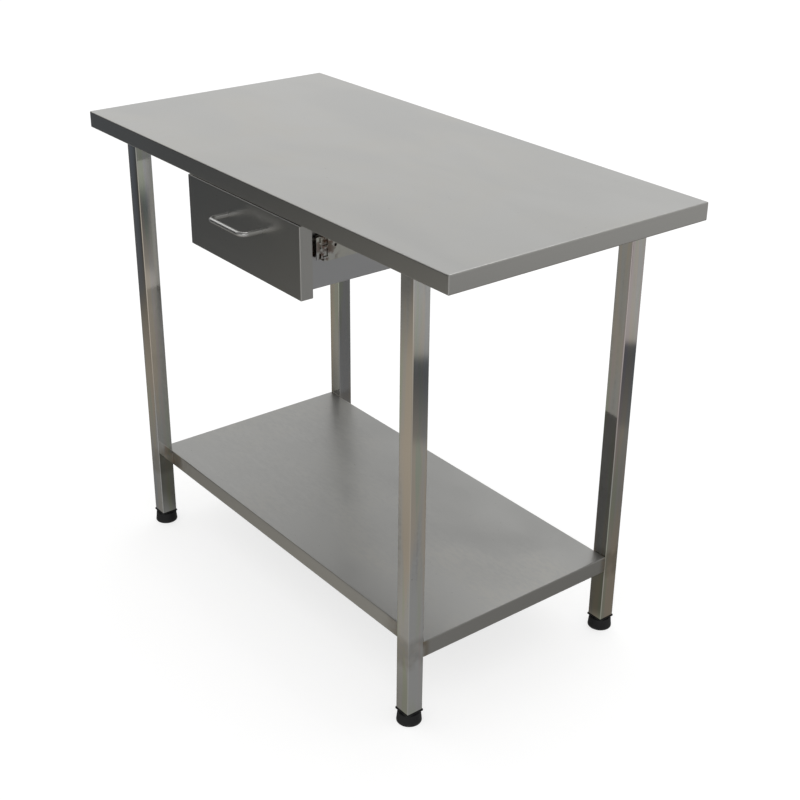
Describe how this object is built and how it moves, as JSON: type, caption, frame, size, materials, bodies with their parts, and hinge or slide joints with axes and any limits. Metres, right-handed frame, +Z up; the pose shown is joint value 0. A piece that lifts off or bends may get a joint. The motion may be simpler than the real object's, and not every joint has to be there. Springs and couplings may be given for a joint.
{
  "type": "stainless work table",
  "caption": "Freestanding stainless kitchen work table with folded top, square legs, undershelf, one drawer under the top and screw-in levelling feet.",
  "frame": {"origin": "on the floor, under the middle of the overall footprint (worktop plus the drawer handle in front of it)", "axes": "+X along the worktop to the right as seen from the drawer side, -Y towards the drawer side, +Z up"},
  "size_m": [1, 0.538, 0.804],
  "materials": {
    "stainless": "brushed, satin",
    "satin_handle": "satin",
    "galvanised": "galvanised, matt",
    "zinc_plated": "bright zinc plate",
    "bearing_steel": "polished",
    "weld_metal": "heat tinted",
    "black_plastic": "moulded"
  },
  "bodies": {
    "table": {"worktop": "stainless", "long_channel_front": "galvanised", "long_channel_back": "galvanised", "cross_channel_left": "galvanised", "cross_channel_right": "galvanised", "hanger_channel_left": "galvanised", "hanger_channel_right": "galvanised", "leg_front_left": "stainless", "leg_front_right": "stainless", "leg_back_left": "stainless", "leg_back_right": "stainless", "leg_plate_front_left": "galvanised", "leg_plate_front_right": "galvanised", "leg_plate_back_left": "galvanised", "leg_plate_back_right": "galvanised", "leg_plate_bolts": "zinc_plated", "undershelf": "stainless", "undershelf_channel": "galvanised", "undershelf_welds": "weld_metal", "foot_insert_front_left": "black_plastic", "foot_insert_front_right": "black_plastic", "foot_insert_back_left": "black_plastic", "foot_insert_back_right": "black_plastic", "cabinet_member_left": "zinc_plated", "cabinet_member_right": "zinc_plated", "hanger_straps_left": "galvanised", "hanger_straps_right": "galvanised", "hanger_screws": "zinc_plated"},
    "drawer": {"drawer_front": "stainless", "drawer_box": "stainless", "drawer_rivets": "zinc_plated", "drawer_handle": "satin_handle", "handle_screws": "zinc_plated", "drawer_member_left": "zinc_plated", "drawer_member_right": "zinc_plated", "release_lever_left": "black_plastic", "release_lever_right": "black_plastic", "slide_screws": "zinc_plated"},
    "middle_slide_left": {"middle_member_left": "zinc_plated"},
    "outer_ball_cage_left": {"outer_cage_left": "zinc_plated", "outer_balls_left": "bearing_steel"},
    "inner_ball_cage_left": {"inner_cage_left": "zinc_plated", "inner_balls_left": "bearing_steel"},
    "middle_slide_right": {"middle_member_right": "zinc_plated"},
    "outer_ball_cage_right": {"outer_cage_right": "zinc_plated", "outer_balls_right": "bearing_steel"},
    "inner_ball_cage_right": {"inner_cage_right": "zinc_plated", "inner_balls_right": "bearing_steel"},
    "levelling_base_front_left": {"foot_base_front_left": "black_plastic"},
    "levelling_stud_front_left": {"foot_stud_front_left": "zinc_plated"},
    "levelling_base_front_right": {"foot_base_front_right": "black_plastic"},
    "levelling_stud_front_right": {"foot_stud_front_right": "zinc_plated"},
    "levelling_base_back_left": {"foot_base_back_left": "black_plastic"},
    "levelling_stud_back_left": {"foot_stud_back_left": "zinc_plated"},
    "levelling_base_back_right": {"foot_base_back_right": "black_plastic"},
    "levelling_stud_back_right": {"foot_stud_back_right": "zinc_plated"}
  },
  "joints": [
    {"name": "drawer_slide", "type": "slide", "parent": "table", "child": "drawer", "axis": [0, -1, 0], "range_m": [0, 0.4]},
    {"name": "middle_slide_left_travel", "type": "slide", "parent": "table", "child": "middle_slide_left", "axis": [0, -1, 0], "range_m": [0, 0.2]},
    {"name": "outer_ball_cage_left_travel", "type": "slide", "parent": "table", "child": "outer_ball_cage_left", "axis": [0, -1, 0], "range_m": [0, 0.1]},
    {"name": "inner_ball_cage_left_travel", "type": "slide", "parent": "table", "child": "inner_ball_cage_left", "axis": [0, -1, 0], "range_m": [0, 0.3]},
    {"name": "middle_slide_right_travel", "type": "slide", "parent": "table", "child": "middle_slide_right", "axis": [0, -1, 0], "range_m": [0, 0.2]},
    {"name": "outer_ball_cage_right_travel", "type": "slide", "parent": "table", "child": "outer_ball_cage_right", "axis": [0, -1, 0], "range_m": [0, 0.1]},
    {"name": "inner_ball_cage_right_travel", "type": "slide", "parent": "table", "child": "inner_ball_cage_right", "axis": [0, -1, 0], "range_m": [0, 0.3]},
    {"name": "levelling_travel_front_left", "type": "slide", "parent": "table", "child": "levelling_base_front_left", "axis": [0, 0, -1], "range_m": [0, 0.0195]},
    {"name": "levelling_screw_front_left", "type": "hinge", "parent": "levelling_base_front_left", "child": "levelling_stud_front_left", "pos_m": [-0.389, -0.196, 0.007], "axis": [0, 0, -1], "range_deg": [0, 4682]},
    {"name": "levelling_travel_front_right", "type": "slide", "parent": "table", "child": "levelling_base_front_right", "axis": [0, 0, -1], "range_m": [0, 0.0195]},
    {"name": "levelling_screw_front_right", "type": "hinge", "parent": "levelling_base_front_right", "child": "levelling_stud_front_right", "pos_m": [0.389, -0.196, 0.007], "axis": [0, 0, -1], "range_deg": [0, 4682]},
    {"name": "levelling_travel_back_left", "type": "slide", "parent": "table", "child": "levelling_base_back_left", "axis": [0, 0, -1], "range_m": [0, 0.0195]},
    {"name": "levelling_screw_back_left", "type": "hinge", "parent": "levelling_base_back_left", "child": "levelling_stud_back_left", "pos_m": [-0.389, 0.234, 0.007], "axis": [0, 0, -1], "range_deg": [0, 4682]},
    {"name": "levelling_travel_back_right", "type": "slide", "parent": "table", "child": "levelling_base_back_right", "axis": [0, 0, -1], "range_m": [0, 0.0195]},
    {"name": "levelling_screw_back_right", "type": "hinge", "parent": "levelling_base_back_right", "child": "levelling_stud_back_right", "pos_m": [0.389, 0.234, 0.007], "axis": [0, 0, -1], "range_deg": [0, 4682]}
  ],
  "couplings": [
    {"joint": "middle_slide_left_travel", "follows": "drawer_slide", "ratio": 0.5},
    {"joint": "outer_ball_cage_left_travel", "follows": "drawer_slide", "ratio": 0.25},
    {"joint": "inner_ball_cage_left_travel", "follows": "drawer_slide", "ratio": 0.75},
    {"joint": "middle_slide_right_travel", "follows": "drawer_slide", "ratio": 0.5},
    {"joint": "outer_ball_cage_right_travel", "follows": "drawer_slide", "ratio": 0.25},
    {"joint": "inner_ball_cage_right_travel", "follows": "drawer_slide", "ratio": 0.75},
    {"joint": "levelling_screw_front_left", "follows": "levelling_travel_front_left", "rad_per_m": 4188.8},
    {"joint": "levelling_screw_front_right", "follows": "levelling_travel_front_right", "rad_per_m": 4188.8},
    {"joint": "levelling_screw_back_left", "follows": "levelling_travel_back_left", "rad_per_m": 4188.8},
    {"joint": "levelling_screw_back_right", "follows": "levelling_travel_back_right", "rad_per_m": 4188.8}
  ]
}
